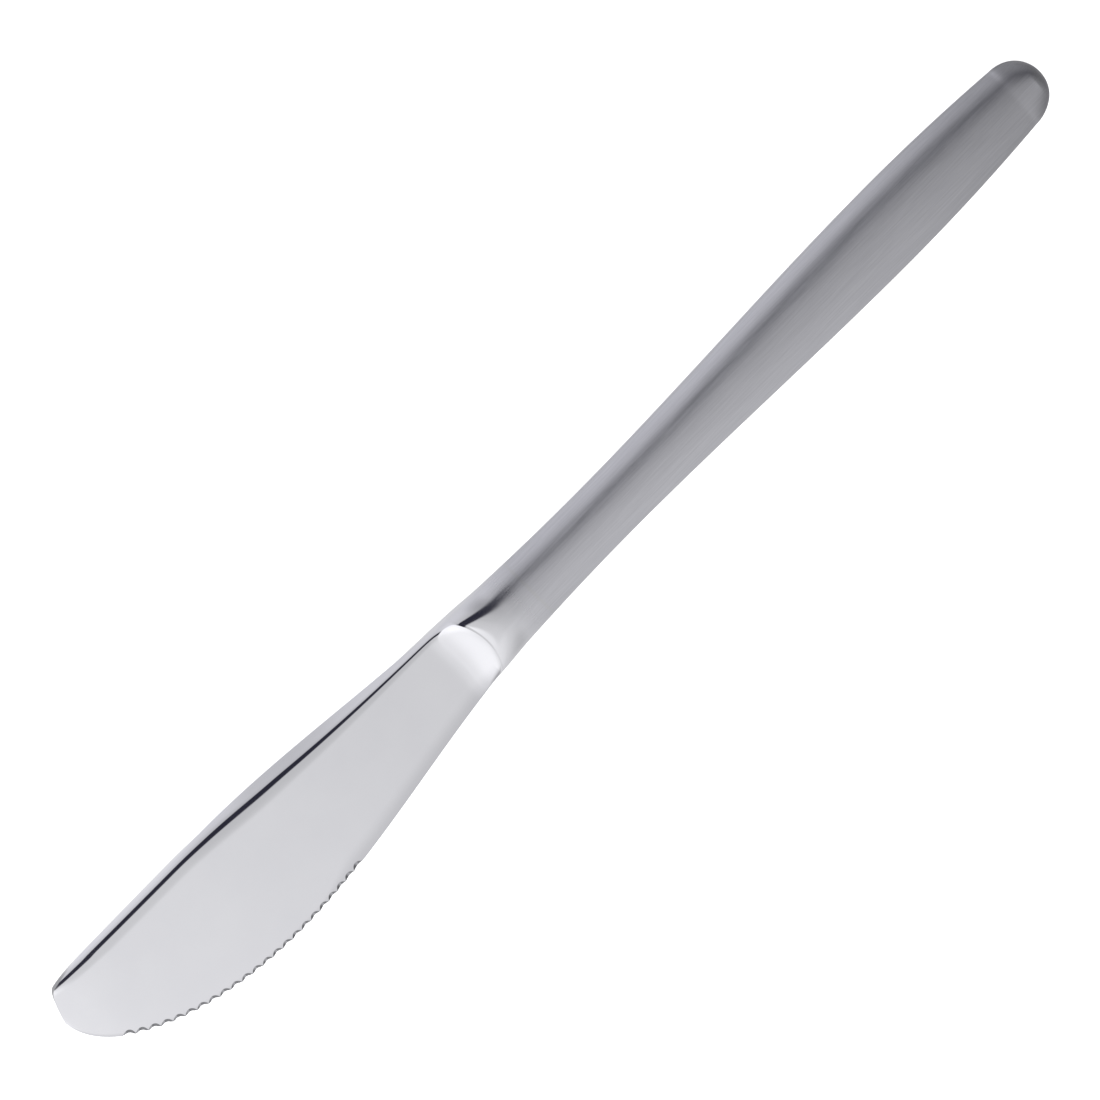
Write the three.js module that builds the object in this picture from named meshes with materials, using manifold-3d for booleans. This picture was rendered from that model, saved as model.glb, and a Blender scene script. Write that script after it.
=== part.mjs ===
// Table knife with a hollow handle: a forged blade whose tang is cemented into two pressed half-shells.
// Millimetres, +Z up. The knife lies on its side, with the tip along +X, the cutting edge along +Y
// and the spine along -Y. The finished part has its origin under the middle of its box.
import * as THREE from "three";
import { mergeVertices } from "three/addons/utils/BufferGeometryUtils.js";
import Module from "manifold-3d";

// Blade outline, measured from the bolster line (x = 0) and the handle's axis (y = 0)
const bladeLength = 85.6; // bolster line to tip
const spineRise = 10.36; // axis to the straight stretch of the spine
const spineStraight = 36; // length of that stretch, up to the tip
const spineSlope = 0.047; // climb of the spine as it leaves the bolster
const edgeDrop = 13.18; // axis to the deepest point of the cutting edge
const edgeSlope = 0.107; // fall of the edge as it leaves the bolster
const bellyLength = 35; // deepest point of the edge to the tip
const tipRise = 4.2; // axis up to the point of the tip
const tipCorner = 2.9; // length of the tight corner between spine and tip
const tipDroop = 1.5; // sag of the spine by the tip, were it not for the corner
const droopLength = 11; // where that sag begins, from the tip

// Blade section
const wedge = 0.0612; // growth of the half thickness per millimetre away from the edge
const edgeThickness = 0.4;
const spineRound = 1.27; // fall of the rounding polished on the shoulders of the spine, by the tip
const swageRound = 1.86; // the same fall where the swage is widest
const heelRound = 0.48; // and at the bolster
const roundStretch = 2.12; // run of that rounding along the cheek for each millimetre that it falls
const swageSlope = 1.45; // run of the swage for each millimetre that it falls, where it is widest
const heelSlope = 0.07; // the same at the bolster
const swageFull = 32.5; // bolster line to the widest swage
const swageFade = 37.5; // bolster line to where the swage begins to fade
const swageEnd = 56.7; // bolster line to where the spine is square again
const filletLength = 8; // hollow where the cheek rises to the bolster
const filletTightness = 6; // how much of that rise is close to the bolster

// Serrations, ground on the upper cheek
const scallopPitch = 2;
const scallopDepth = 0.58; // at the middle plane, by the tip
const heelDepth = 0.36; // the same at the other end of the serrations
const toothLand = 0.15; // flat left between two scallops
const scallopLean = 0.96; // lean of the grinding from square to the cheek
const serrationHeel = 36.1; // bolster line to the first scallop
const serrationTip = 4; // last scallop to the tip

// Handle outline and section
const handleLength = 124.4; // bolster line to butt
const neckWidth = 12.8;
const neckThickness = 6.1;
const neckSquareness = 2.7; // exponent of the section: 2 is an ellipse
const squareLength = 6.75; // bolster line to the rounder section of the waist
const neckSwell = 0.13; // growth of the half thickness behind the bolster
const neckFlare = 0.07; // growth of the half width as the neck meets the blade
const swellLength = 11; // bolster line to the full thickness
const bolsterBulge = 2; // the bolster line bows towards the handle
const bulgeReach = 8; // how far the bow fades into the blade
const handleThickness = 6.6;
const waistBack = 29; // bolster line to the narrowest section
const waistWidth = 10.7;
const waistSquareness = 2.1;
const palmFromButt = 33; // butt to the widest section
const palmWidth = 13.8;
const palmSquareness = 2.2;
const buttWidth = 11.5; // where the rounding of the butt begins
const buttThickness = 6;
const buttRound = 5.9; // length of that rounding, seen from above
const buttTurn = 2; // length over which the faces turn down to the end

// Inside the handle
const jointBack = 12; // bolster line to the end face of the neck
const brazeWidth = 0.5;
const shellWall = 0.8;
const seamWidth = 0.5;
const tangLength = 46;
const tangNarrowing = 3; // loss of width from the neck to the far end
const sideBed = 1.15; // cement beside the tang, at the waist
const faceBed = 0.95; // cement above and below the tang, at the neck
const endBed = 12; // cement beyond the tang
const cementGap = 0.15;

// Facets
const ringPoints = 32;
const grindSides = 24;

const waistX = -waistBack;
const palmX = palmFromButt - handleLength;
const capX = buttRound - handleLength;
const turnX = buttTurn - handleLength;
const jointX = -jointBack;
const mouthX = jointX - brazeWidth;
const bellyX = bladeLength - bellyLength;
const straightX = bladeLength - spineStraight;
const cornerX = bladeLength - tipCorner;
const droopX = bladeLength - droopLength;

const wasm = await Module();
wasm.setup();

// Cubic through (x0, v0) with slope m0 and (x1, v1) with slope m1
function ease(x, [x0, v0, m0], [x1, v1, m1]) {
  const span = x1 - x0;
  const t = (x - x0) / span;
  const rise = t * t * (3 - 2 * t);
  const lean = m0 * t * (1 - t) ** 2 - m1 * t * t * (1 - t);
  return v0 + (v1 - v0) * rise + span * lean;
}

// Height of a quarter ellipse, 1 at the start and 0 at the end
function quarter(t) {
  return Math.sqrt(Math.max(0, 1 - t * t));
}

// Falls away from the widest section to the butt like a parabola
function towardsButt(x, palm, butt) {
  const t = (palmX - x) / (palmX - capX);
  return palm + (butt - palm) * t * t;
}

function handleHalfWidth(x) {
  const neck = [0, neckWidth / 2, neckFlare];
  const waist = [waistX, waistWidth / 2, 0];
  const palm = [palmX, palmWidth / 2, 0];
  if (x > waistX) return ease(x, waist, neck);
  if (x > palmX) return ease(x, palm, waist);
  return towardsButt(x, palmWidth / 2, buttWidth / 2);
}

function handleHalfThickness(x) {
  const neck = [0, neckThickness / 2, -neckSwell];
  const full = [-swellLength, handleThickness / 2, 0];
  if (x > -swellLength) return ease(x, full, neck);
  if (x > palmX) return handleThickness / 2;
  return towardsButt(x, handleThickness / 2, buttThickness / 2);
}

function handleSquareness(x) {
  if (x > -squareLength) return ease(x, [-squareLength, waistSquareness, 0], [0, neckSquareness, 0]);
  if (x > waistX) return waistSquareness;
  if (x > palmX) return ease(x, [palmX, palmSquareness, 0], [waistX, waistSquareness, 0]);
  return palmSquareness;
}

// Half thickness of a rounded section at u, from -1 on the spine side to 1 on the edge side
function roundedHeight(u, halfThickness, squareness) {
  return halfThickness * Math.max(0, 1 - Math.abs(u) ** squareness) ** (1 / squareness);
}

// Reach of the spine's shoulders, which run straight out at the tip
function shoulderReach(x) {
  if (x > straightX) return spineRise;
  return ease(x, [0, neckWidth / 2, spineSlope], [straightX, spineRise, 0]);
}

function spineReach(x) {
  const droop = Math.max(0, (x - droopX) / droopLength);
  const corner = Math.max(0, (x - cornerX) / tipCorner);
  const reach = shoulderReach(x) - tipDroop * droop ** 2;
  return THREE.MathUtils.lerp(reach, tipRise, corner ** 2);
}

function edgeReach(x) {
  if (x > bellyX) return (edgeDrop + tipRise) * quarter((x - bellyX) / bellyLength) - tipRise;
  return ease(x, [0, neckWidth / 2, edgeSlope], [bellyX, edgeDrop, 0]);
}

// Half thickness of the blade: a flat wedge that falls by a round shoulder and a swage to the spine
function bladeHeight(x, y) {
  const edgeLine = x > bellyX ? edgeReach(x) : edgeDrop;
  const flat = edgeThickness / 2 + wedge * (edgeLine - y);
  const faded = THREE.MathUtils.smoothstep(x, swageFade, swageEnd);
  const widened = THREE.MathUtils.smoothstep(x, 0, swageFull);
  const run = (THREE.MathUtils.lerp(heelSlope, swageSlope, widened) * (1 - faded)) / roundStretch;
  const turn = Math.atan2(1, run);
  const rounded = THREE.MathUtils.smoothstep(x, 0, straightX);
  const grown = THREE.MathUtils.lerp(heelRound, swageRound, rounded);
  const radius = Math.min(THREE.MathUtils.lerp(grown, spineRound, faded), flat / (1 - Math.cos(turn)));
  const tangent = radius * Math.tan(turn / 2);
  const inside = Math.max(0, y + shoulderReach(x)) / roundStretch;
  const short = flat * run + tangent - inside;
  if (short <= 0) return flat;
  if (short <= radius * Math.sin(turn)) return flat - radius + Math.sqrt(radius ** 2 - short ** 2);
  return inside / run;
}

// Closed ring of points round the knife, from the spine over the upper cheek to the edge and back below
function ring(x, centre, halfWidth, heightAt) {
  const fade = x < 0 ? -x / jointBack : x / bulgeReach;
  const bow = bolsterBulge * Math.max(0, 1 - fade);
  const half = ringPoints / 2;
  return Array.from({ length: ringPoints }, (_, i) => {
    const u = -Math.cos((i * Math.PI) / half);
    const height = i % half === 0 ? 0 : heightAt(u);
    return new THREE.Vector3(x - bow * (1 - u * u), centre + halfWidth * u, i < half ? height : -height);
  });
}

// Ring of the handle's outside, or of a surface that lies inset within it
function handleRing(x, inset) {
  const at = Math.max(x, capX);
  const cap = quarter((at - x) / (buttRound - inset));
  const turned = quarter(Math.max(0, turnX - x) / (buttTurn - inset));
  const halfWidth = (handleHalfWidth(at) - inset) * cap;
  const halfThickness = (handleHalfThickness(at) - inset) * turned;
  return ring(x, 0, halfWidth, (u) => roundedHeight(u, halfThickness, handleSquareness(at)));
}

// Ring of the blade: the cheek rises in a hollow to the bolster line
function bladeRing(x) {
  const spine = spineReach(x);
  const edge = edgeReach(x);
  const centre = (edge - spine) / 2;
  const halfWidth = (edge + spine) / 2;
  const along = Math.min(1, x / filletLength);
  const blend = (1 - along) ** filletTightness * (1 + filletTightness * along);
  return ring(x, centre, halfWidth, (u) => {
    const neck = roundedHeight(u, neckThickness / 2, neckSquareness);
    return THREE.MathUtils.lerp(bladeHeight(x, centre + halfWidth * u), neck, blend);
  });
}

// Evenly spaced places from start up to, but not including, end
function spread(start, end, count) {
  return Array.from({ length: count }, (_, i) => start + ((end - start) * i) / count);
}

// Places that crowd together towards the end of a rounding, as the steps of an arc do
function rounding(start, length, count) {
  return Array.from({ length: count }, (_, i) => start + length * Math.sin((i * Math.PI) / 2 / count));
}

// Closed surface through rings in order of x, drawn to a point at each end
function loft(rings, startPoint, endPoint) {
  const points = [...rings.flat(), startPoint, endPoint];
  const start = points.length - 2;
  const end = points.length - 1;
  const last = (rings.length - 1) * ringPoints;
  const index = [];
  for (let j = 0; j < ringPoints; j += 1) {
    const k = (j + 1) % ringPoints;
    index.push(start, j, k, end, last + k, last + j);
    for (let row = 0; row < last; row += ringPoints) {
      const next = row + ringPoints;
      index.push(row + j, next + j, next + k, row + j, next + k, row + k);
    }
  }
  return new THREE.BufferGeometry().setFromPoints(points).setIndex(index);
}

function solid(geometry) {
  const bare = geometry.clone();
  bare.deleteAttribute("normal");
  bare.deleteAttribute("uv");
  const merged = mergeVertices(bare);
  return new wasm.Manifold(
    new wasm.Mesh({
      numProp: 3,
      vertProperties: merged.attributes.position.array,
      triVerts: new Uint32Array(merged.index.array),
    }),
  );
}

// Slab that spans the whole width of the handle, for cutting along flat planes
function slab(lowX, highX, lowZ, highZ) {
  const body = new THREE.BoxGeometry(highX - lowX, 2 * palmWidth, highZ - lowZ);
  return solid(body.translate((lowX + highX) / 2, 0, (lowZ + highZ) / 2));
}

// Body of the handle from the butt to endX, inset within the outside
function handleBody(inset, endX) {
  const places = [
    ...rounding(capX, inset - buttRound, 8).slice(1).reverse(),
    ...spread(capX, palmX, 6),
    ...spread(palmX, waistX, 8),
    ...spread(waistX, endX, 4),
    endX,
  ];
  const rings = places.map((x) => handleRing(x, inset));
  const butt = new THREE.Vector3(inset - handleLength, 0, 0);
  return solid(loft(rings, butt, new THREE.Vector3(endX, 0, 0)));
}

// Flat tang that narrows to the rear, or the socket that surrounds it by the given gap
function tang(gap) {
  const rootX = jointX / 2; // inside the neck that it is forged with
  const endX = jointX - tangLength - gap;
  const root = waistWidth / 2 - shellWall - sideBed + gap;
  const end = root - tangNarrowing / 2;
  const outline = new THREE.Shape([
    new THREE.Vector2(rootX, -root),
    new THREE.Vector2(rootX, root),
    new THREE.Vector2(endX, end),
    new THREE.Vector2(endX, -end),
  ]);
  const halfDepth = handleHalfThickness(jointX) - shellWall - faceBed + gap;
  const bar = new THREE.ExtrudeGeometry(outline, { depth: 2 * halfDepth, bevelEnabled: false });
  return solid(bar.translate(0, 0, -halfDepth));
}

// One grinding stroke per scallop, square to the edge and leaning out of the upper cheek
function grindStrokes() {
  const stretch = spread(serrationHeel, bladeLength - serrationTip, 60);
  const edge = new THREE.SplineCurve(stretch.map((x) => new THREE.Vector2(x, edgeReach(x))));
  const count = Math.floor(edge.getLength() / scallopPitch);
  const bite = scallopDepth * Math.cos(scallopLean);
  const halfChord = (scallopPitch - toothLand) / 2;
  const radius = (halfChord ** 2 + bite ** 2) / (2 * bite);
  return Array.from({ length: count }, (_, i) => {
    const along = (i + 0.5) / count;
    const place = edge.getPointAt(along);
    const tangent = edge.getTangentAt(along);
    const stand = radius / Math.cos(scallopLean) - THREE.MathUtils.lerp(heelDepth, scallopDepth, along);
    const out = new THREE.Vector3(-tangent.y, tangent.x, 0);
    const axis = new THREE.Vector3(0, 0, Math.cos(scallopLean)).addScaledVector(out, -Math.sin(scallopLean));
    const turn = new THREE.Quaternion().setFromUnitVectors(new THREE.Vector3(0, 1, 0), axis);
    const stroke = new THREE.CylinderGeometry(radius, radius, 4 * scallopPitch, grindSides);
    stroke.applyQuaternion(turn).translate(place.x + out.x * stand, place.y + out.y * stand, 0);
    return solid(stroke);
  });
}

function makeBlade() {
  const neck = spread(jointX, 0, 6).map((x) => handleRing(x, 0));
  const places = [
    ...spread(0, 1, 8).map((t) => filletLength * t * t),
    ...spread(filletLength, bellyX, 6),
    ...spread(bellyX, cornerX, 8),
    ...rounding(cornerX, tipCorner, 5),
  ];
  const rings = [...neck, ...places.map(bladeRing)];
  const neckEnd = new THREE.Vector3(jointX, 0, 0);
  const tip = new THREE.Vector3(bladeLength, -tipRise, 0);
  const forging = solid(loft(rings, neckEnd, tip)).add(tang(0));
  return grindStrokes().reduce((blade, stroke) => blade.subtract(stroke), forging);
}

// Fills the front of the hollow round the tang
function makeCement() {
  const filling = handleBody(shellWall + cementGap, 0);
  const rearX = jointX - tangLength - endBed;
  const stretch = slab(rearX, jointX - cementGap, -handleThickness, handleThickness);
  return filling.intersect(stretch).subtract(tang(cementGap));
}

function piece(name, made, material) {
  const { vertProperties, triVerts } = made.getMesh();
  const geometry = new THREE.BufferGeometry();
  geometry.setAttribute("position", new THREE.BufferAttribute(vertProperties, 3));
  geometry.setIndex(new THREE.BufferAttribute(triVerts, 1));
  geometry.computeVertexNormals();
  const mesh = new THREE.Mesh(geometry, material);
  mesh.name = name;
  return mesh;
}

const polishedSteel = new THREE.MeshStandardMaterial({ color: 0xd9dade, roughness: 0.08, metalness: 1 });
const satinSteel = new THREE.MeshStandardMaterial({ color: 0xa8a9ae, roughness: 0.35, metalness: 1 });
const weldSteel = new THREE.MeshStandardMaterial({ color: 0xa4a5aa, roughness: 0.38, metalness: 1 });
const silverBraze = new THREE.MeshStandardMaterial({ color: 0xb4b2a8, roughness: 0.35, metalness: 1 });
const cement = new THREE.MeshStandardMaterial({ color: 0x8a8378, roughness: 0.9, metalness: 0 });

// The shells, their weld and the braze are cut from one hollow body, so that they stay flush
const hollow = handleBody(0, jointX).subtract(handleBody(shellWall, 0));
const behindX = -2 * handleLength;
const seamZ = seamWidth / 2;
const aboveZ = handleThickness;
const leftShell = hollow.intersect(slab(behindX, mouthX, seamZ, aboveZ));
const rightShell = hollow.intersect(slab(behindX, mouthX, -aboveZ, -seamZ));
const seamWeld = hollow.intersect(slab(behindX, mouthX, -seamZ, seamZ));
const braze = hollow.intersect(slab(mouthX, 0, -aboveZ, aboveZ));

const knife = new THREE.Group();
knife.add(
  piece("blade", makeBlade(), polishedSteel),
  piece("handle_shell_left", leftShell, satinSteel),
  piece("handle_shell_right", rightShell, satinSteel),
  piece("handle_seam_weld", seamWeld, weldSteel),
  piece("bolster_braze", braze, silverBraze),
  piece("tang_cement", makeCement(), cement),
);

const box = new THREE.Box3().setFromObject(knife);
const middle = box.getCenter(new THREE.Vector3());
knife.position.set(-middle.x, -middle.y, -box.min.z);

const part = new THREE.Group();
part.add(knife);
export default part;
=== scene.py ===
import math

import bmesh
import bpy
from mathutils import Matrix, Vector


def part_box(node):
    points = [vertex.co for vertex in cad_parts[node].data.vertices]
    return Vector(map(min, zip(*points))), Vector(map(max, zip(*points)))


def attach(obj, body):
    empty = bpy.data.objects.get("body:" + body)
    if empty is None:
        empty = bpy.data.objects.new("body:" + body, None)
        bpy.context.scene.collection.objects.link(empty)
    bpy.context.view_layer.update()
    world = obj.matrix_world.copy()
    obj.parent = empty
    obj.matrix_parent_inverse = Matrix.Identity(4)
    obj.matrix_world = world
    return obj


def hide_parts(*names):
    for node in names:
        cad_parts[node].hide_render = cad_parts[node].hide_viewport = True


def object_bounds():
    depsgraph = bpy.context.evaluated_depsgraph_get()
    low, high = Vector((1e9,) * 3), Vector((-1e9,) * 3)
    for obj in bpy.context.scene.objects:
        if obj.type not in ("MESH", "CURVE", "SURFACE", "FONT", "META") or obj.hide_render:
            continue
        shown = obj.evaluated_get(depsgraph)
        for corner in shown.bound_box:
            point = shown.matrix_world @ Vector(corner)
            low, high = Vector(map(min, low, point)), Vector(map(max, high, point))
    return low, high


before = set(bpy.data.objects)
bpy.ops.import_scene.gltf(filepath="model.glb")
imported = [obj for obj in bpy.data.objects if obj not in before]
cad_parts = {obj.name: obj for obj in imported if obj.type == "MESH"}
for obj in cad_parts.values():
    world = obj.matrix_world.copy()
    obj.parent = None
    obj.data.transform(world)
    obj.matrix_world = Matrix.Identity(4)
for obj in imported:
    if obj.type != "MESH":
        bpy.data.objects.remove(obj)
cadLow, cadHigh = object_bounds()
print("frame loaded:", ", ".join(sorted(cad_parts)))

mm = 0.001
mergeWithin = 1e-7  # metres
sharpAngle = 30  # degrees, a sharper fold is shaded as an edge

# Sizes in millimetres, from the bolster line (x = 0) and the handle's axis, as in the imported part
handle = {
    "length": 124.4,
    "neckWidth": 12.8,
    "neckThickness": 6.1,
    "neckSquareness": 2.7,  # 2 is an ellipse
    "squareLength": 6.75,
    "neckSwell": 0.13,
    "neckFlare": 0.07,
    "swellLength": 11,
    "bolsterBulge": 2,  # the bolster line bows towards the handle
    "bulgeReach": 8,
    "thickness": 6.6,
    "waistBack": 29,
    "waistWidth": 10.7,
    "waistSquareness": 2.1,
    "palmFromButt": 33,
    "palmWidth": 13.8,
    "palmSquareness": 2.2,
    "buttWidth": 11.5,
    "buttThickness": 6,
    "buttRound": 5.9,
    "buttTurn": 2,
    "jointBack": 12,
    "brazeWidth": 0.5,
    "wall": 0.8,
    "seamWidth": 0.5,
    "rows": 250,
    "capRows": 70,  # of those, round the butt
    "columns": 97,
    "weldRows": (120, 60),  # along each side, and round each half of the butt
}

blade = {
    "length": 85.6,
    "spineRise": 10.36,
    "spineStraight": 36,
    "spineSlope": 0.047,
    "edgeDrop": 13.18,
    "edgeSlope": 0.107,
    "bellyLength": 35,
    "tipRise": 4.2,
    "tipCorner": 2.9,
    "tipDroop": 1.5,
    "droopLength": 11,
    "wedge": 0.0612,
    "edgeThickness": 0.4,
    "spineRound": 1.27,  # fall of the rounded shoulder beside the spine
    "swageRound": 1.86,
    "heelRound": 0.48,
    "roundStretch": 2.12,  # run of the shoulder for each millimetre that it falls
    "swageSlope": 1.45,  # and of the swage
    "heelSlope": 0.07,
    "swageFull": 32.5,
    "swageFade": 37.5,
    "swageEnd": 56.7,
    "filletLength": 8,
    "filletTightness": 6,
    "satinReach": 14,  # polish fades to satin over this length behind the bolster line
    "columns": 192,
    "neckRows": 40,
    "filletRows": 60,
    "cheekRows": 60,
    "bellyRows": 60,
    "cornerRows": 40,
}

waistX = -handle["waistBack"]
palmX = handle["palmFromButt"] - handle["length"]
capX = handle["buttRound"] - handle["length"]
turnX = handle["buttTurn"] - handle["length"]
jointX = -handle["jointBack"]
mouthX = jointX - handle["brazeWidth"]
seamZ = handle["seamWidth"] / 2
bellyX = blade["length"] - blade["bellyLength"]
straightX = blade["length"] - blade["spineStraight"]
cornerX = blade["length"] - blade["tipCorner"]
droopX = blade["length"] - blade["droopLength"]

# The braze ring's front face is the joint, and its middle is the handle's axis
brazeLow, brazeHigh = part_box("bolster_braze")
datum = Vector((brazeHigh.x - jointX * mm, (brazeLow.y + brazeHigh.y) / 2, (brazeLow.z + brazeHigh.z) / 2))


def place(x, y, z):
    return datum + Vector((x, y, z)) * mm


def ease(x, start, end):  # cubic through two points (x, value, slope)
    span = end[0] - start[0]
    t = (x - start[0]) / span
    lean = start[2] * t * (1 - t) ** 2 - end[2] * t * t * (1 - t)
    return start[1] + (end[1] - start[1]) * t * t * (3 - 2 * t) + span * lean


def quarter(t):  # quarter ellipse, 1 at the start and 0 at the end
    return math.sqrt(max(0, 1 - t * t))


def smooth(x, low, high):
    t = min(1, max(0, (x - low) / (high - low)))
    return t * t * (3 - 2 * t)


def mix(a, b, share):
    return a + (b - a) * share


def spread(start, end, count):  # even steps, the end left out
    return [start + (end - start) * i / count for i in range(count)]


def rounding(start, length, count):  # crowds together towards the end, as the steps of an arc do
    return [start + length * math.sin(i * math.pi / 2 / count) for i in range(count)]


# The handle's section: half width, half thickness and squareness at a place along the axis
def handleWidth(x):
    neck = (0, handle["neckWidth"] / 2, handle["neckFlare"])
    waist = (waistX, handle["waistWidth"] / 2, 0)
    palm = (palmX, handle["palmWidth"] / 2, 0)
    if x > waistX:
        return ease(x, waist, neck)
    if x > palmX:
        return ease(x, palm, waist)
    t = (palmX - x) / (palmX - capX)
    return palm[1] + (handle["buttWidth"] / 2 - palm[1]) * t * t


def handleThickness(x):
    full = (-handle["swellLength"], handle["thickness"] / 2, 0)
    if x > full[0]:
        return ease(x, full, (0, handle["neckThickness"] / 2, -handle["neckSwell"]))
    t = max(0, (palmX - x) / (palmX - capX))
    return full[1] + (handle["buttThickness"] / 2 - full[1]) * t * t


def handleSquareness(x):
    waist = handle["waistSquareness"]
    if x > -handle["squareLength"]:
        return ease(x, (-handle["squareLength"], waist, 0), (0, handle["neckSquareness"], 0))
    if x > waistX:
        return waist
    if x > palmX:
        return ease(x, (palmX, handle["palmSquareness"], 0), (waistX, waist, 0))
    return handle["palmSquareness"]


def handleSection(x, inset=0):
    at = max(x, capX)
    cap = quarter((at - x) / (handle["buttRound"] - inset))
    turned = quarter(max(0, turnX - x) / (handle["buttTurn"] - inset))
    return (handleWidth(at) - inset) * cap, (handleThickness(at) - inset) * turned, handleSquareness(at)


def roundedHeight(u, halfThickness, squareness):
    return halfThickness * max(0, 1 - abs(u) ** squareness) ** (1 / squareness)


# The blade's outline, and its section: a wedge that falls by a round shoulder and a swage to the spine
def shoulderReach(x):
    if x > straightX:
        return blade["spineRise"]
    return ease(x, (0, handle["neckWidth"] / 2, blade["spineSlope"]), (straightX, blade["spineRise"], 0))


def spineReach(x):
    droop = max(0, (x - droopX) / blade["droopLength"])
    corner = max(0, (x - cornerX) / blade["tipCorner"])
    return mix(shoulderReach(x) - blade["tipDroop"] * droop ** 2, blade["tipRise"], corner ** 2)


def edgeReach(x):
    if x > bellyX:
        belly = quarter((x - bellyX) / blade["bellyLength"])
        return (blade["edgeDrop"] + blade["tipRise"]) * belly - blade["tipRise"]
    return ease(x, (0, handle["neckWidth"] / 2, blade["edgeSlope"]), (bellyX, blade["edgeDrop"], 0))


def bladeHeight(x, y):
    edgeLine = edgeReach(x) if x > bellyX else blade["edgeDrop"]
    flat = blade["edgeThickness"] / 2 + blade["wedge"] * (edgeLine - y)
    faded = smooth(x, blade["swageFade"], blade["swageEnd"])
    widened = mix(blade["heelSlope"], blade["swageSlope"], smooth(x, 0, blade["swageFull"])) * (1 - faded)
    run = widened / blade["roundStretch"]
    turn = math.atan2(1, run)
    grown = mix(blade["heelRound"], blade["swageRound"], smooth(x, 0, straightX))
    radius = min(mix(grown, blade["spineRound"], faded), flat / (1 - math.cos(turn)))
    inside = max(0, y + shoulderReach(x)) / blade["roundStretch"]
    short = flat * run + radius * math.tan(turn / 2) - inside  # from the flat's near end
    if short <= 0:
        return flat
    if short <= radius * math.sin(turn):
        return flat - radius + math.sqrt(radius ** 2 - short ** 2)
    return inside / run


def bladeRing(x):  # spine, upper cheek, edge, lower cheek
    half = blade["columns"] // 2
    fade = -x / handle["jointBack"] if x < 0 else x / handle["bulgeReach"]
    bow = handle["bolsterBulge"] * max(0, 1 - fade)
    spine, edge = (spineReach(x), edgeReach(x)) if x > 0 else (handleWidth(x), handleWidth(x))
    tight, along = blade["filletTightness"], min(1, max(0, x / blade["filletLength"]))
    blend = (1 - along) ** tight * (1 + tight * along)  # the cheek rises in a hollow to the bolster line
    ring = []
    for i in range(blade["columns"]):
        u = -math.cos(i * math.pi / half)
        y = (edge - spine) / 2 + (edge + spine) / 2 * u
        z = 0
        if i % half:
            z = roundedHeight(u, handleThickness(min(x, 0)), handleSquareness(min(x, 0)))
        if i % half and blend < 1:
            z = mix(bladeHeight(x, y), z, blend)
        ring.append(place(x - bow * (1 - u * u), y, z if i < half else -z))
    return ring


# One function adds a node, with its settings and links
def addNode(tree, kind, inputs=None, **settings):
    node = tree.nodes.new(kind)
    for name, value in settings.items():
        setattr(node, name, value)
    for key, value in (inputs or {}).items():
        if isinstance(value, bpy.types.NodeSocket):
            tree.links.new(value, node.inputs[key])
        else:
            node.inputs[key].default_value = value
    return node


def newTree(name, sizes):  # a geometry tree with a named input for each size
    tree = bpy.data.node_groups.new(name, "GeometryNodeTree")
    tree.interface.new_socket("Geometry", in_out="INPUT", socket_type="NodeSocketGeometry")
    tree.interface.new_socket("Geometry", in_out="OUTPUT", socket_type="NodeSocketGeometry")
    for label, kind in sizes.items():
        tree.interface.new_socket(label, in_out="INPUT", socket_type="NodeSocket" + kind)
    return tree, addNode(tree, "NodeGroupInput").outputs


def endTree(tree, geometry, material):
    whole = addNode(tree, "GeometryNodeRealizeInstances", {0: geometry})
    finished = addNode(tree, "GeometryNodeSetMaterial", {"Geometry": whole.outputs[0], "Material": material})
    addNode(tree, "NodeGroupOutput", {0: finished.outputs[0]})
    return tree


def runTree(start, tree, sizes, wall=0):  # leaves a plain mesh, with the modifiers and the start object gone
    modifier = start.modifiers.new(tree.name, "NODES")
    modifier.node_group = tree
    for socket in tree.interface.items_tree:
        if socket.in_out == "INPUT" and socket.name in sizes:
            modifier[socket.identifier] = sizes[socket.name]
    if wall:
        solid = start.modifiers.new("wall", "SOLIDIFY")
        solid.thickness = wall
        solid.offset = -1
        solid.use_even_offset = True
    depsgraph = bpy.context.evaluated_depsgraph_get()
    mesh = bpy.data.meshes.new_from_object(
        start.evaluated_get(depsgraph), preserve_all_data_layers=True, depsgraph=depsgraph
    )
    bpy.data.objects.remove(start)
    return mesh


def newObject(name, data):
    made = bpy.data.objects.new(name, data)
    bpy.context.scene.collection.objects.link(made)
    return made


def pathMesh(name, points):  # an open line of points for a tree to follow
    mesh = bpy.data.meshes.new(name)
    mesh.from_pydata(points, [(i, i + 1) for i in range(len(points) - 1)], [])
    return mesh


def ringMesh(name, rings, wrap=False):  # skin over closed rings, capped or wrapped round to the first
    count = len(rings[0])
    faces = []
    for row in range(len(rings) if wrap else len(rings) - 1):
        here, there = row * count, (row + 1) % len(rings) * count
        for j in range(count):
            after = (j + 1) % count
            faces.append((here + j, there + j, there + after, here + after))
    if not wrap:
        faces += [list(range(count)), list(range((len(rings) - 1) * count, len(rings) * count))]
    mesh = bpy.data.meshes.new(name)
    mesh.from_pydata([p for ring in rings for p in ring], [], faces)
    return mesh


def faceOutwards(mesh, merge):
    bm = bmesh.new()
    bm.from_mesh(mesh)
    if merge:
        bmesh.ops.remove_doubles(bm, verts=bm.verts, dist=mergeWithin)
    bmesh.ops.recalc_face_normals(bm, faces=bm.faces)
    bm.to_mesh(mesh)
    bm.free()


def finishPiece(name, mesh, node):
    faceOutwards(mesh, merge=True)
    mesh.shade_smooth()
    mesh.set_sharp_from_angle(angle=math.radians(sharpAngle))
    mesh.name = name
    piece = newObject(name, mesh)
    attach(piece, "root")
    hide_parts(node)
    print(name, "made:", len(mesh.polygons), "faces")


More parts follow.
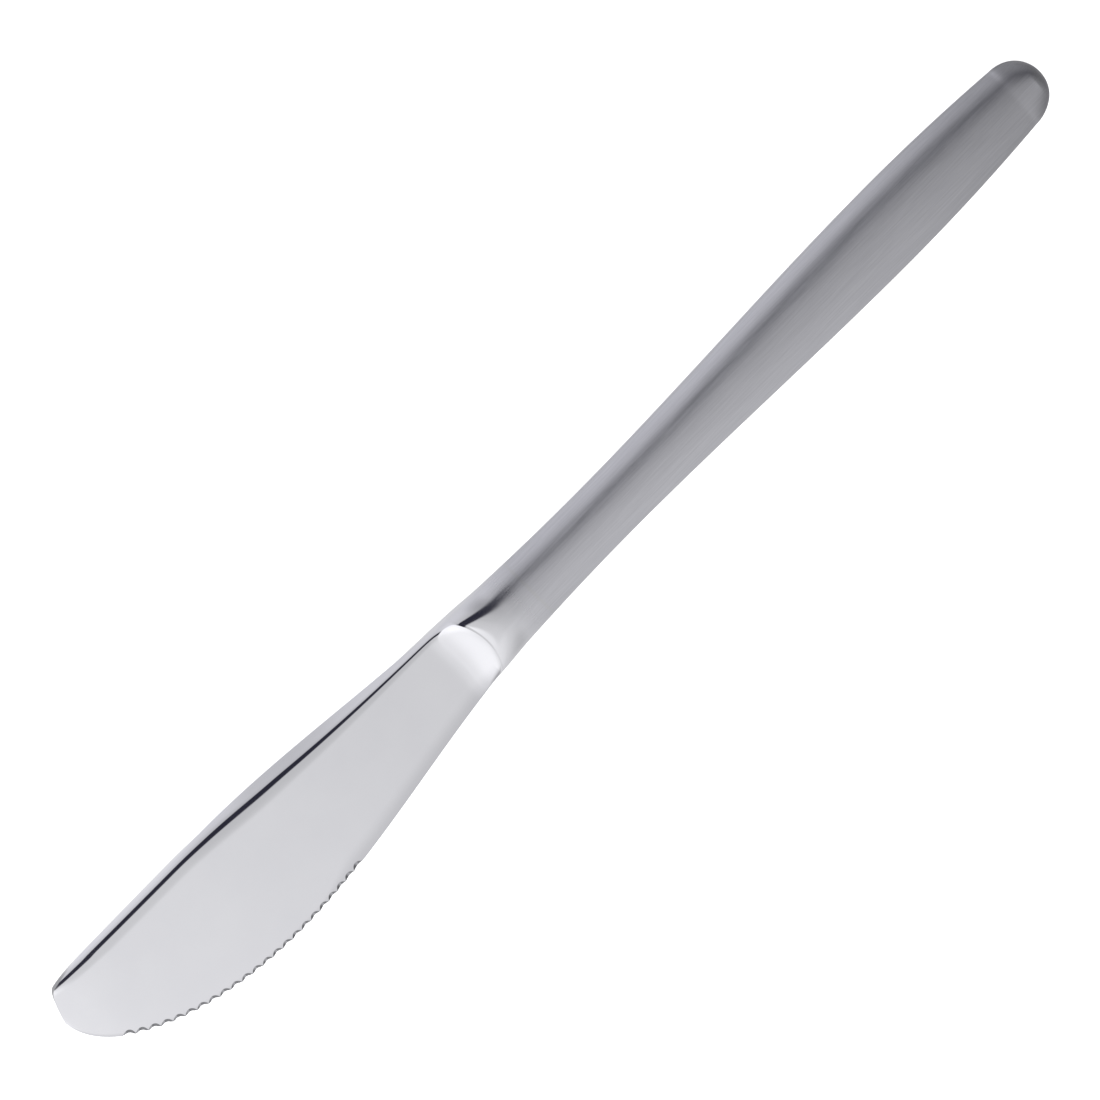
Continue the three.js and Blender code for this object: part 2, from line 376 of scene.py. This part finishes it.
# Colours are sRGB hex, turned to linear here
def colour(code):
    channels = [int(code[i:i + 2], 16) / 255 for i in (0, 2, 4)]
    return [c / 12.92 if c <= 0.04045 else ((c + 0.055) / 1.055) ** 2.4 for c in channels] + [1]


def newMaterial(name):
    material = bpy.data.materials.new(name)
    material.use_nodes = True
    material.node_tree.nodes.clear()
    return material, material.node_tree


steel = {
    "polishedDark": "dfdfe4",
    "polishedLight": "e7e7eb",
    "satinDark": "bbbbc1",
    "satinLight": "e3e3e9",
    "weldDark": "c7c7cd",
    "weldLight": "d7d7dd",
    "brazeDark": "c8c8cc",
    "brazeLight": "d8d8dc",
    "ground": "acacb1",  # where the wheel has cut; in the scallop hollows this grey is also painted shade
    "polishRoughness": (0.04, 0.08),
    "satinRoughness": (0.31, 0.38),
    "noiseRange": (0.3, 0.7),  # of the noise, spread over the roughness
    "brushed": 0.6,  # brushing spreads light round the handle more than along it
    "brushWidth": 0.22,  # real grit lines are about 0.05 wide, drawn coarser so that they show
    "brushLength": 8,
    "brushDepth": 0.0065,
    "hazeSize": 9,
}


# Lengthwise brushing that the steels share: noise stretched to fine streaks, with a tone and a roughness
# that follow them
def brushing(tree, dark, light):
    where = addNode(tree, "ShaderNodeTexCoord")
    across = 1 / (steel["brushWidth"] * mm)
    along = 1 / (steel["brushLength"] * mm)
    stretched = addNode(tree, "ShaderNodeMapping", {
        "Vector": where.outputs["Object"], "Scale": (along, across, across),
    })
    lines = addNode(tree, "ShaderNodeTexNoise", {
        "Vector": stretched.outputs[0], "Scale": 1, "Detail": 4, "Roughness": 0.65,
    }).outputs[0]
    tone = addNode(tree, "ShaderNodeMix", {0: lines, 6: colour(dark), 7: colour(light)}, data_type="RGBA")
    least, most = steel["noiseRange"]
    low, high = steel["satinRoughness"]
    rough = addNode(tree, "ShaderNodeMapRange", {0: lines, 1: least, 2: most, 3: low, 4: high})
    return lines, tone.outputs[2], rough.outputs[0]


def endSteel(tree, tone, rough, lines, grooved):
    grooves = addNode(tree, "ShaderNodeBump", {
        "Strength": grooved, "Height": lines, "Distance": steel["brushDepth"] * mm,
    })
    tangent = addNode(tree, "ShaderNodeTangent", direction_type="RADIAL", axis="X")
    shader = addNode(tree, "ShaderNodeBsdfPrincipled", {
        "Base Color": tone,
        "Metallic": 1,
        "Roughness": rough,
        "Anisotropic": steel["brushed"],
        "Tangent": tangent.outputs[0],
        "Normal": grooves.outputs[0],
    })
    addNode(tree, "ShaderNodeOutputMaterial", {"Surface": shader.outputs[0]})


# Satin stainless steel, brushed lengthwise: a soft grey that blurs reflections and shows fine streaks
def satinSteel(name, dark, light):
    material, tree = newMaterial(name)
    lines, tone, rough = brushing(tree, dark, light)
    endSteel(tree, tone, rough, lines, 1)
    return material


# Mirror polished forged steel whose neck is brushed: clean reflections on the blade, a blur behind the
# bolster line, and a dull grey where the edge is ground, which in the scallop hollows is also painted shade
def polishedSteel():
    material, tree = newMaterial("polished stainless steel with a satin neck")
    satin, ground = (
        addNode(tree, "ShaderNodeAttribute", attribute_name=name).outputs["Fac"]
        for name in ("satin", "ground")
    )
    lines, grey, brushed = brushing(tree, steel["satinDark"], steel["satinLight"])
    where = addNode(tree, "ShaderNodeTexCoord")
    haze = addNode(tree, "ShaderNodeTexNoise", {
        "Vector": where.outputs["Object"], "Scale": 1 / (steel["hazeSize"] * mm), "Detail": 3,
    }).outputs[0]
    least, most = steel["noiseRange"]
    low, high = steel["polishRoughness"]
    clear = addNode(tree, "ShaderNodeMapRange", {0: haze, 1: least, 2: most, 3: low, 4: high})
    rough = addNode(tree, "ShaderNodeMix", {0: satin, 2: clear.outputs[0], 3: brushed})
    tone = addNode(tree, "ShaderNodeMix", {
        0: haze, 6: colour(steel["polishedDark"]), 7: colour(steel["polishedLight"]),
    }, data_type="RGBA")
    # the ground grey is mixed in last; on the cut faces it is ground finish and also painted shade in the
    # hollows
    for share, other in ((satin, grey), (ground, colour(steel["ground"]))):
        tone = addNode(tree, "ShaderNodeMix", {0: share, 6: tone.outputs[2], 7: other}, data_type="RGBA")
    endSteel(tree, tone.outputs[2], rough.outputs[0], lines, satin)
    return material


bladeSteel = polishedSteel()
shellSteel = satinSteel("satin brushed stainless steel", steel["satinDark"], steel["satinLight"])
weldSteel = satinSteel("weld filler brushed with the shells", steel["weldDark"], steel["weldLight"])
brazeSteel = satinSteel("silver braze brushed with the shells", steel["brazeDark"], steel["brazeLight"])
print("steels made")


# Blade: the forging is a skin over rings, then strokes of a grinding wheel cut the scallops into its edge
scallops = {
    "pitch": 2,
    "depth": 0.58,  # at the middle plane, by the tip
    "heelDepth": 0.36,
    "land": 0.15,  # left flat between two scallops
    "lean": 55,  # degrees from square to the cheek
    "stroke": 4,  # length of a stroke, in radii of the wheel
    "heel": 36.1,  # bolster line to the first scallop
    "tip": 4,  # last scallop to the tip
    "sides": 64,
    "pathPoints": 120,
    "skin": 0.02,  # depth below the cheek that counts as cut
    "dull": 0.36,  # how ground the strip beside the edge looks
    "dullWidth": (3, 1),  # of that strip, behind the scallops and along them
    "dullFade": 10,  # length over which it narrows
}


def scallopTree():
    tree, size = newTree("edge scallops", {
        "Edge Path": "Object", "Pitch": "Float", "Wheel Radius": "Float", "Heel Stand Off": "Float",
        "Tip Stand Off": "Float", "Lean": "Float", "Stroke": "Float", "Sides": "Int", "Steel": "Material",
    })
    path = addNode(tree, "GeometryNodeObjectInfo", {"Object": size["Edge Path"]})
    edge = addNode(tree, "GeometryNodeMeshToCurve", {"Mesh": path.outputs["Geometry"]}).outputs[0]
    length = addNode(tree, "GeometryNodeCurveLength", {0: edge}).outputs[0]
    share = addNode(tree, "ShaderNodeMath", {0: length, 1: size["Pitch"]}, operation="DIVIDE")
    count = addNode(tree, "ShaderNodeMath", {0: share.outputs[0]}, operation="FLOOR").outputs[0]
    step = addNode(tree, "ShaderNodeMath", {0: length, 1: count}, operation="DIVIDE").outputs[0]
    first = addNode(tree, "ShaderNodeMath", {0: step, 1: 0.5}, operation="MULTIPLY").outputs[0]
    last = addNode(tree, "ShaderNodeMath", {0: length, 1: first}, operation="SUBTRACT").outputs[0]
    middles = addNode(tree, "GeometryNodeTrimCurve", {0: edge, 4: first, 5: last}, mode="LENGTH")
    marks = addNode(tree, "GeometryNodeResampleCurve", {
        "Curve": middles.outputs[0], "Count": count,
    }, mode="COUNT")
    wheel = addNode(tree, "GeometryNodeMeshCylinder", {
        "Vertices": size["Sides"], "Radius": size["Wheel Radius"], "Depth": size["Stroke"],
    })
    turn = addNode(tree, "ShaderNodeCombineXYZ", {0: size["Lean"]})
    stroke = addNode(tree, "GeometryNodeTransform", {
        "Geometry": wheel.outputs["Mesh"], "Rotation": turn.outputs[0],
    })
    tangent = addNode(tree, "GeometryNodeInputTangent")
    facing = addNode(tree, "FunctionNodeAlignRotationToVector", {
        "Vector": tangent.outputs[0],
    }, axis="X", pivot_axis="Z")
    strokes = addNode(tree, "GeometryNodeInstanceOnPoints", {
        "Points": marks.outputs[0], "Instance": stroke.outputs[0], "Rotation": facing.outputs[0],
    })
    # the wheel stands nearer towards the tip, so it cuts deeper there
    index = addNode(tree, "GeometryNodeInputIndex").outputs[0]
    gone = addNode(tree, "ShaderNodeMath", {0: index, 1: count}, operation="DIVIDE").outputs[0]
    away = addNode(tree, "ShaderNodeMix", {0: gone, 2: size["Heel Stand Off"], 3: size["Tip Stand Off"]})
    move = addNode(tree, "ShaderNodeCombineXYZ", {1: away.outputs[0]})
    placed = addNode(tree, "GeometryNodeTranslateInstances", {
        "Instances": strokes.outputs[0], "Translation": move.outputs[0], "Local Space": True,
    })
    ground = addNode(tree, "GeometryNodeMeshBoolean", {
        "Mesh 1": size["Geometry"], "Mesh 2": placed.outputs[0],
    }, operation="DIFFERENCE", solver="MANIFOLD")
    return endTree(tree, ground.outputs[0], size["Steel"])


# Grey ground tone: the finish of the ground faces, and also painted shade where it darkens the scallop
# hollows
def dullEdgeAndHollowShade(mesh):  # full where the wheel has cut, and fading in over the strip beside the edge
    ground = mesh.attributes.new("ground", "FLOAT", "CORNER")
    heel = scallops["heel"]
    for face in mesh.polygons:
        x, y, z = (face.center - datum) / mm
        if x < 0:
            continue
        beside = x > heel and y > edgeReach(x) - scallops["pitch"]
        cut = beside and abs(z) < bladeHeight(x, y) - scallops["skin"]
        width = mix(*scallops["dullWidth"], smooth(x, heel, heel + scallops["dullFade"]))
        for corner in face.loop_indices:
            spot = (mesh.vertices[mesh.loops[corner].vertex_index].co - datum) / mm
            strip = scallops["dull"] * smooth(spot.y - edgeReach(spot.x), -width, 0)
            ground.data[corner].value = 1 if cut else strip


def makeBlade():
    neck = spread(jointX, 0, blade["neckRows"])
    fillet = [blade["filletLength"] * t * t for t in spread(0, 1, blade["filletRows"])]
    cheek = spread(blade["filletLength"], bellyX, blade["cheekRows"])
    belly = spread(bellyX, cornerX, blade["bellyRows"])
    places = neck + fillet + cheek + belly + rounding(cornerX, blade["tipCorner"], blade["cornerRows"])
    mesh = ringMesh("forging", [bladeRing(x) for x in places])
    satin = mesh.attributes.new("satin", "FLOAT", "POINT")
    for row, x in enumerate(places):
        finish = smooth(-x, 0, blade["satinReach"])
        for column in range(blade["columns"]):
            satin.data[row * blade["columns"] + column].value = finish
    faceOutwards(mesh, merge=False)
    stretch = spread(scallops["heel"], blade["length"] - scallops["tip"], scallops["pathPoints"])
    edge = newObject("edgePath", pathMesh("edge path", [place(x, edgeReach(x), 0) for x in stretch]))
    lean = math.radians(scallops["lean"])
    bite = scallops["depth"] * math.cos(lean)
    chord = (scallops["pitch"] - scallops["land"]) / 2
    radius = (chord ** 2 + bite ** 2) / (2 * bite)
    made = runTree(newObject("forging", mesh), scallopTree(), {
        "Edge Path": edge,
        "Pitch": scallops["pitch"] * mm,
        "Wheel Radius": radius * mm,
        "Heel Stand Off": (radius / math.cos(lean) - scallops["heelDepth"]) * mm,
        "Tip Stand Off": (radius / math.cos(lean) - scallops["depth"]) * mm,
        "Lean": lean,
        "Stroke": scallops["stroke"] * radius * mm,
        "Sides": scallops["sides"],
        "Steel": bladeSteel,
    })
    bpy.data.objects.remove(edge)
    dullEdgeAndHollowShade(made)
    finishPiece("blade_polished", made, "blade")


makeBlade()


# Half-shells: a skin whose section follows the axis, with the seam's height left open below it
def shellTree():
    tree, size = newTree("handle half-shell", {
        "Columns": "Int", "Seam Height": "Float", "Steel": "Material",
    })
    axis = size["Geometry"]
    rows = addNode(tree, "GeometryNodeAttributeDomainSize", {0: axis}).outputs["Point Count"]
    skin = addNode(tree, "GeometryNodeMeshGrid", {"Vertices X": rows, "Vertices Y": size["Columns"]})
    index = addNode(tree, "GeometryNodeInputIndex").outputs[0]
    row, column = (
        addNode(tree, "FunctionNodeIntegerMath", {0: index, 1: size["Columns"]}, operation=how).outputs[0]
        for how in ("DIVIDE_FLOOR", "MODULO")
    )
    section = []
    for name in ("halfWidth", "halfThickness", "squareness"):
        stored = addNode(tree, "GeometryNodeInputNamedAttribute", {"Name": name}, data_type="FLOAT")
        sample = addNode(tree, "GeometryNodeSampleIndex", {
            "Geometry": axis, "Value": stored.outputs[0], "Index": row,
        }, data_type="FLOAT", domain="POINT")
        section.append(sample.outputs[0])
    halfWidth, halfThickness, squareness = section
    inverse = addNode(tree, "ShaderNodeMath", {0: 1.0, 1: squareness}, operation="DIVIDE").outputs[0]

    def across(share):  # reach of the section one way, at a share of its reach the other way
        power = addNode(tree, "ShaderNodeMath", {0: share, 1: squareness}, operation="POWER").outputs[0]
        rest = addNode(tree, "ShaderNodeMath", {0: 1.0, 1: power}, operation="SUBTRACT", use_clamp=True)
        return addNode(tree, "ShaderNodeMath", {0: rest.outputs[0], 1: inverse}, operation="POWER").outputs[0]

    # the skin turns from the seam over the top to the seam
    low = addNode(tree, "ShaderNodeMath", {0: size["Seam Height"], 1: halfThickness}, operation="DIVIDE")
    reach = across(low.outputs[0])
    steps = addNode(tree, "FunctionNodeIntegerMath", {0: size["Columns"], 1: 1}, operation="SUBTRACT")
    share = addNode(tree, "ShaderNodeMath", {0: column, 1: steps.outputs[0]}, operation="DIVIDE")
    angle = addNode(tree, "ShaderNodeMath", {0: share.outputs[0], 1: math.pi}, operation="MULTIPLY")
    swing = addNode(tree, "ShaderNodeMath", {0: angle.outputs[0]}, operation="COSINE")
    u = addNode(tree, "ShaderNodeMath", {0: swing.outputs[0], 1: reach}, operation="MULTIPLY").outputs[0]
    y = addNode(tree, "ShaderNodeMath", {0: u, 1: halfWidth}, operation="MULTIPLY")
    offAxis = addNode(tree, "ShaderNodeMath", {0: u}, operation="ABSOLUTE")
    height = across(offAxis.outputs[0])
    z = addNode(tree, "ShaderNodeMath", {0: height, 1: halfThickness}, operation="MULTIPLY")
    out = addNode(tree, "ShaderNodeCombineXYZ", {1: y.outputs[0], 2: z.outputs[0]})
    spot = addNode(tree, "GeometryNodeInputPosition")
    centre = addNode(tree, "GeometryNodeSampleIndex", {
        "Geometry": axis, "Value": spot.outputs[0], "Index": row,
    }, data_type="FLOAT_VECTOR", domain="POINT")
    shaped = addNode(tree, "GeometryNodeSetPosition", {
        "Geometry": skin.outputs["Mesh"], "Position": centre.outputs[0], "Offset": out.outputs[0],
    })
    closed = addNode(tree, "GeometryNodeMergeByDistance", {
        "Geometry": shaped.outputs[0], "Distance": mergeWithin,
    })
    return endTree(tree, closed.outputs[0], size["Steel"])


def makeShells():
    endX = turnX - handle["buttTurn"] * quarter(seamZ / (handle["buttThickness"] / 2))  # the seam closes here
    cap = rounding(capX, endX - capX, handle["capRows"]) + [endX]
    stations = spread(mouthX, capX, handle["rows"] - handle["capRows"]) + cap
    mesh = pathMesh("handle axis", [place(x, 0, 0) for x in stations])
    sections = [handleSection(x) for x in stations]
    for i, (name, unit) in enumerate((("halfWidth", mm), ("halfThickness", mm), ("squareness", 1))):
        stored = mesh.attributes.new(name, "FLOAT", "POINT")
        stored.data.foreach_set("value", [s[i] * unit for s in sections])
    left = runTree(newObject("handleAxis", mesh), shellTree(), {
        "Columns": handle["columns"], "Seam Height": seamZ * mm, "Steel": shellSteel,
    }, wall=handle["wall"] * mm)
    right = left.copy()  # the same pressing, turned over
    right.transform(Matrix.Translation(datum) @ Matrix.Rotation(math.pi, 4, "X") @ Matrix.Translation(-datum))
    finishPiece("handle_left_satin", left, "handle_shell_left")
    finishPiece("handle_right_satin", right, "handle_shell_right")


makeShells()


# Seam weld: a bar of filler that follows the handle's outline from the mouth round the butt and back
def weldTree():
    tree, size = newTree("seam weld", {"Width": "Float", "Depth": "Float", "Steel": "Material"})
    line = addNode(tree, "GeometryNodeMeshToCurve", {"Mesh": size["Geometry"]})
    upright = addNode(tree, "GeometryNodeSetCurveNormal", {"Curve": line.outputs[0]}, mode="Z_UP")
    bead = addNode(tree, "GeometryNodeCurvePrimitiveQuadrilateral", {
        "Width": size["Depth"], "Height": size["Width"],
    })
    bar = addNode(tree, "GeometryNodeCurveToMesh", {
        "Curve": upright.outputs[0], "Profile Curve": bead.outputs[0], "Fill Caps": True,
    })
    return endTree(tree, bar.outputs[0], size["Steel"])


def makeWeld():
    inset = handle["wall"] / 2
    straight, turned = handle["weldRows"]
    stations = spread(mouthX, capX, straight) + rounding(capX, inset - handle["buttRound"], turned)
    spineSide = [place(x, -handleSection(x, inset)[0], 0) for x in stations]
    edgeSide = [place(x, handleSection(x, inset)[0], 0) for x in reversed(stations)]
    butt = place(inset - handle["length"], 0, 0)
    line = newObject("seamLine", pathMesh("seam line", spineSide + [butt] + edgeSide))
    made = runTree(line, weldTree(), {
        "Width": handle["seamWidth"] * mm, "Depth": handle["wall"] * mm, "Steel": weldSteel,
    })
    finishPiece("seam_weld_flush", made, "handle_seam_weld")


makeWeld()


# Braze ring: fills the joint between the neck and the handle's mouth, dressed flush
def makeBraze():
    corners = [(mouthX, 0), (jointX, 0), (jointX, handle["wall"]), (mouthX, handle["wall"])]
    rings = []
    for x, inset in corners:
        halfWidth, halfThickness, squareness = handleSection(x, inset)
        ring = []
        for i in range(blade["columns"]):
            angle = 2 * math.pi * i / blade["columns"]
            u = -math.cos(angle)
            side = 1 if math.sin(angle) > 0 else -1
            ring.append(place(x, halfWidth * u, side * roundedHeight(u, halfThickness, squareness)))
        rings.append(ring)
    mesh = ringMesh("braze", rings, wrap=True)
    mesh.materials.append(brazeSteel)
    finishPiece("braze_ring_flush", mesh, "bolster_braze")


makeBraze()


# Cement: stays as packed, inside the shells
cement = {
    "dark": "7d766b",
    "light": "989084",
    "grainSize": 0.4,
    "grainDepth": 0.05,
    "roughness": 0.9,
}


# Zinc phosphate cement, cast: matt grey with a sandy grain
def handleCement():
    material, tree = newMaterial("cast zinc phosphate cement")
    where = addNode(tree, "ShaderNodeTexCoord")
    sand = addNode(tree, "ShaderNodeTexNoise", {
        "Vector": where.outputs["Object"], "Scale": 1 / (cement["grainSize"] * mm), "Detail": 5,
    }).outputs[0]
    tone = addNode(tree, "ShaderNodeMix", {
        0: sand, 6: colour(cement["dark"]), 7: colour(cement["light"]),
    }, data_type="RGBA")
    bump = addNode(tree, "ShaderNodeBump", {"Height": sand, "Distance": cement["grainDepth"] * mm})
    shader = addNode(tree, "ShaderNodeBsdfPrincipled", {
        "Base Color": tone.outputs[2], "Roughness": cement["roughness"], "Normal": bump.outputs[0],
    })
    addNode(tree, "ShaderNodeOutputMaterial", {"Surface": shader.outputs[0]})
    return material


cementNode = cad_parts["tang_cement"]
cementNode.data.materials.clear()
cementNode.data.materials.append(handleCement())
print("cement dressed")


# Studio: pale floor, soft light from all round with a dark gap where the camera stands, brighter at the tip
studio = {
    "tilt": 22,  # degrees that the camera leans from straight above, towards the spine
    "turn": 45.38,  # degrees that the knife's axis is turned in the picture
    "distance": 700,
    "knifePixels": 1361.5,  # length of the knife in a picture of 1100 by 1100
    "picturePixels": 1100,
    "aim": (0.68, -3.37, 0),  # middle of the picture, from the middle of the knife's box
    "strength": 1,
    "plain": "ffffff",
    "cool": "fbfbff",  # tint of the light from the spine side
    "gap": "30303c",  # dark gap between the lights, where the camera stands
    "gapFrom": 7.25,  # degrees round the knife's axis, as in lightRound
    "gapTo": 32,
    "gapSoft": 2,
    "gapEnds": (0.19, 0.25),  # place along the knife where the gap closes, as in lightAlong
    "floor": "f4f4f4",
    "floorGlow": 1.05,
    "floorRoughness": 0.9,
    "floorReach": 3,  # metres
    # light by angle round the knife's axis, as (degrees, brightness): 0 is straight up, 90 the spine side
    "lightRound": [
        (-180, 0.8), (-130, 0.78), (-110, 0.77), (-80, 0.77), (-50, 0.79), (-30, 0.79), (-24, 0.69),
        (-20, 0.66), (-10, 0.64), (0, 0.645), (5, 0.65), (34, 0.61), (42, 0.645), (50, 0.685), (62, 0.74),
        (75, 0.77), (95, 0.78), (120, 0.79), (150, 0.82), (180, 0.8),
    ],
    # the same for the light that comes from beyond the tip
    "lightEnd": [
        (-180, 0.35), (-120, 0.35), (-85, 0.4), (-64, 0.68), (-50, 0.8), (-39, 0.79), (-30, 0.79),
        (-20, 0.85), (-10, 0.92), (0, 0.96), (15, 1), (35, 1.02), (45, 0.94), (56, 0.68), (72, 0.44),
        (100, 0.35), (140, 0.35), (180, 0.35),
    ],
    # light by place along the knife, as (place, brightness): -1 comes from the butt's side, 1 from the tip's
    "lightAlong": [
        (-1, 0.2), (-0.6, 0.38), (-0.4, 0.35), (-0.3, 0.34), (-0.22, 0.42), (-0.16, 0.57), (-0.1, 0.75),
        (-0.05, 0.88), (0, 0.98), (0.05, 1.02), (0.08, 1.085), (0.1, 1.12), (0.15, 1.16), (0.2, 1.2),
        (0.24, 1.225), (0.3, 1.24), (0.36, 1.25), (0.5, 1.32), (0.62, 1.4), (0.74, 1.46), (0.83, 1.48),
        (1, 1.5),
    ],
    # the same on the spine side, where the light reaches further back
    "lightSpine": [
        (-1, 0.3), (-0.6, 0.42), (-0.4, 0.4), (-0.3, 0.41), (-0.22, 0.55), (-0.16, 0.82), (-0.1, 1),
        (-0.05, 1.01), (0, 1.02), (0.05, 1.07), (0.1, 1.12), (0.15, 1.17), (0.2, 1.21), (0.3, 1.24),
        (0.5, 1.32), (0.74, 1.46), (1, 1.5),
    ],
}


def fillRamp(ramp, stops):
    low, high = stops[0][0], stops[-1][0]
    while len(ramp.elements) > 1:
        ramp.elements.remove(ramp.elements[0])
    for i, (at, value) in enumerate(stops):
        share = (at - low) / (high - low)
        stop = ramp.elements[0] if i == 0 else ramp.elements.new(share)
        stop.position = share
        stop.color = (value, value, value, 1)  # a ramp may hold values above 1


def makeWorld():
    world = bpy.data.worlds.new("soft studio light")
    bpy.context.scene.world = world
    world.use_nodes = True
    tree = world.node_tree
    tree.nodes.clear()
    where = addNode(tree, "ShaderNodeTexCoord")
    x, y, z = addNode(tree, "ShaderNodeSeparateXYZ", {0: where.outputs["Generated"]}).outputs
    spineWard = addNode(tree, "ShaderNodeMath", {0: y, 1: -1.0}, operation="MULTIPLY")
    angle = addNode(tree, "ShaderNodeMath", {0: spineWard.outputs[0], 1: z}, operation="ARCTAN2").outputs[0]
    side = addNode(tree, "ShaderNodeMath", {0: angle}, operation="SINE", use_clamp=True).outputs[0]
    turned = addNode(tree, "ShaderNodeMapRange", {0: angle, 1: -math.pi, 2: math.pi}).outputs[0]
    slid = addNode(tree, "ShaderNodeMapRange", {0: x, 1: -1.0, 2: 1.0}).outputs[0]
    tables = {"lightRound": turned, "lightEnd": turned, "lightAlong": slid, "lightSpine": slid}
    levels = []
    for table, at in tables.items():
        ramp = addNode(tree, "ShaderNodeValToRGB", {0: at})
        fillRamp(ramp.color_ramp, studio[table])
        levels.append(ramp.outputs[0])
    around, beyond, along, back = levels
    near, far = studio["gapEnds"]
    end = addNode(tree, "ShaderNodeMapRange", {
        0: x, 1: near, 2: far,
    }, interpolation_type="SMOOTHSTEP").outputs[0]
    ringed = addNode(tree, "ShaderNodeMix", {0: end, 2: around, 3: beyond})
    length = addNode(tree, "ShaderNodeMix", {0: side, 2: along, 3: back})
    soft = addNode(tree, "ShaderNodeMath", {0: ringed.outputs[0], 1: length.outputs[0]}, operation="MULTIPLY")
    cool = addNode(tree, "ShaderNodeMix", {
        0: side, 6: colour(studio["plain"]), 7: colour(studio["cool"]),
    }, data_type="RGBA")
    tinted = addNode(tree, "ShaderNodeMix", {
        0: 1, 6: cool.outputs[2], 7: soft.outputs[0],
    }, data_type="RGBA", blend_type="MULTIPLY")
    # the gap: open between two angles, and closed towards the tip
    opened, closed = (
        addNode(tree, "ShaderNodeMapRange", {
            0: angle, 1: math.radians(at - studio["gapSoft"]), 2: math.radians(at + studio["gapSoft"]),
        }).outputs[0] for at in (studio["gapFrom"], studio["gapTo"])
    )
    wide = addNode(tree, "ShaderNodeMath", {0: opened, 1: closed}, operation="SUBTRACT")
    gap = addNode(tree, "ShaderNodeMath", {0: wide.outputs[0], 1: end}, operation="SUBTRACT", use_clamp=True)
    level = addNode(tree, "ShaderNodeMix", {
        0: gap.outputs[0], 6: tinted.outputs[2], 7: colour(studio["gap"]),
    }, data_type="RGBA")
    light = addNode(tree, "ShaderNodeBackground", {"Color": level.outputs[2], "Strength": studio["strength"]})
    addNode(tree, "ShaderNodeOutputWorld", {"Surface": light.outputs[0]})


def makeFloor():
    mesh = bpy.data.meshes.new("floor")
    reach = studio["floorReach"]
    corners = [(-reach, -reach, 0), (reach, -reach, 0), (reach, reach, 0), (-reach, reach, 0)]
    mesh.from_pydata(corners, [], [(0, 1, 2, 3)])
    material, tree = newMaterial("pale studio floor")
    shader = addNode(tree, "ShaderNodeBsdfPrincipled", {
        "Base Color": colour(studio["floor"]),
        "Roughness": studio["floorRoughness"],
        "Emission Color": colour(studio["floor"]),
        "Emission Strength": studio["floorGlow"],
    })
    addNode(tree, "ShaderNodeOutputMaterial", {"Surface": shader.outputs[0]})
    mesh.materials.append(material)
    floor = newObject("floor", mesh)
    floor.visible_glossy = False  # the steel mirrors the soft light alone


def makeCamera():
    tilt, turn = math.radians(studio["tilt"]), math.radians(studio["turn"])
    back = Vector((0, -math.sin(tilt), math.cos(tilt)))
    spineWard = Vector((0, -math.cos(tilt), -math.sin(tilt)))
    buttWard = Vector((-1, 0, 0))
    right = buttWard * math.cos(turn) - spineWard * math.sin(turn)
    up = buttWard * math.sin(turn) + spineWard * math.cos(turn)
    aim = (cadLow + cadHigh) / 2 + Vector(studio["aim"]) * mm
    length = (cadHigh.x - cadLow.x) / mm
    width = length * studio["picturePixels"] / studio["knifePixels"]
    data = bpy.data.cameras.new("camera")
    data.sensor_width = 36
    data.lens = data.sensor_width * studio["distance"] / width
    data.clip_start = 0.01
    camera = newObject("camera", data)
    turnedTo = Matrix((right, up, back)).transposed().to_4x4()
    camera.matrix_world = Matrix.Translation(aim + back * studio["distance"] * mm) @ turnedTo
    bpy.context.scene.camera = camera


makeWorld()
makeFloor()
makeCamera()
bpy.context.scene.view_settings.view_transform = "Standard"  # keeps the steel's greys as they are
print("studio made")
